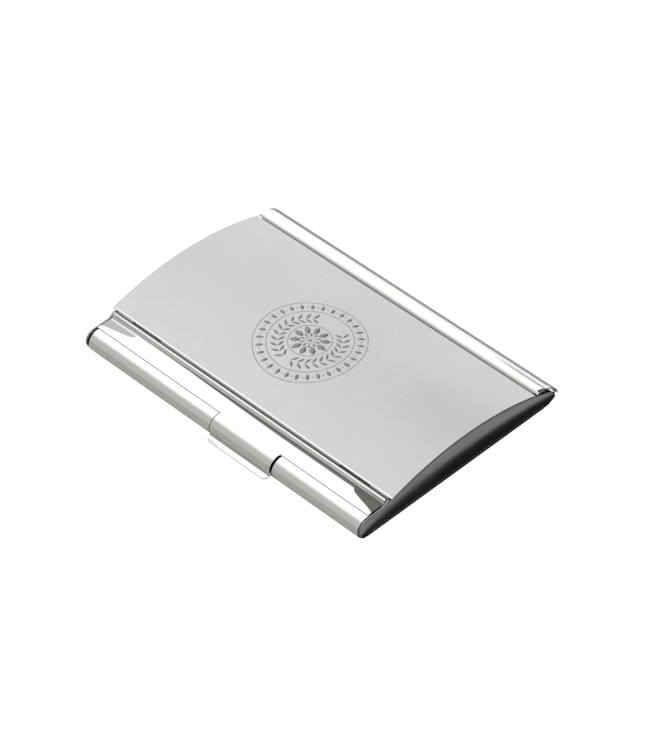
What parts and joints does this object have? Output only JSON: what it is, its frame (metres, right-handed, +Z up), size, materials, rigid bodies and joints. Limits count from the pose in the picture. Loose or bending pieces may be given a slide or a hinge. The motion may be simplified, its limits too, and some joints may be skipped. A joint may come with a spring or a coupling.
{
  "type": "business card case",
  "caption": "Slim hinged sheet-steel business card case with a rolled front edge, an arched satin cover plate and a thumb tab with a turned-out lip.",
  "frame": {"origin": "middle of the underside's outline, with the thumb lip and the hinge included", "axes": "+X along the case from the left end to the right end, +Y from the thumb tab back to the hinge, +Z up out of the lid"},
  "size_m": [0.094, 0.0688, 0.0114],
  "materials": {
    "polished_steel": "mirror-polished stainless sheet",
    "lid_polished_steel": "mirror-polished stainless sheet",
    "satin_steel": "fine bead-blasted satin",
    "pin_steel": "drawn steel wire"
  },
  "bodies": {
    "case": {"tray": "polished_steel", "left_end_cheek": "polished_steel", "right_end_cheek": "polished_steel", "hinge_pin": "pin_steel"},
    "lid": {"lid_plate": "lid_polished_steel", "cover_plate": "satin_steel"}
  },
  "joints": [
    {"name": "lid_hinge", "type": "hinge", "parent": "case", "child": "lid", "pos_m": [0, 0.0332, 0.0021], "axis": [-1, 0, 0], "range_deg": [0, 110]}
  ]
}
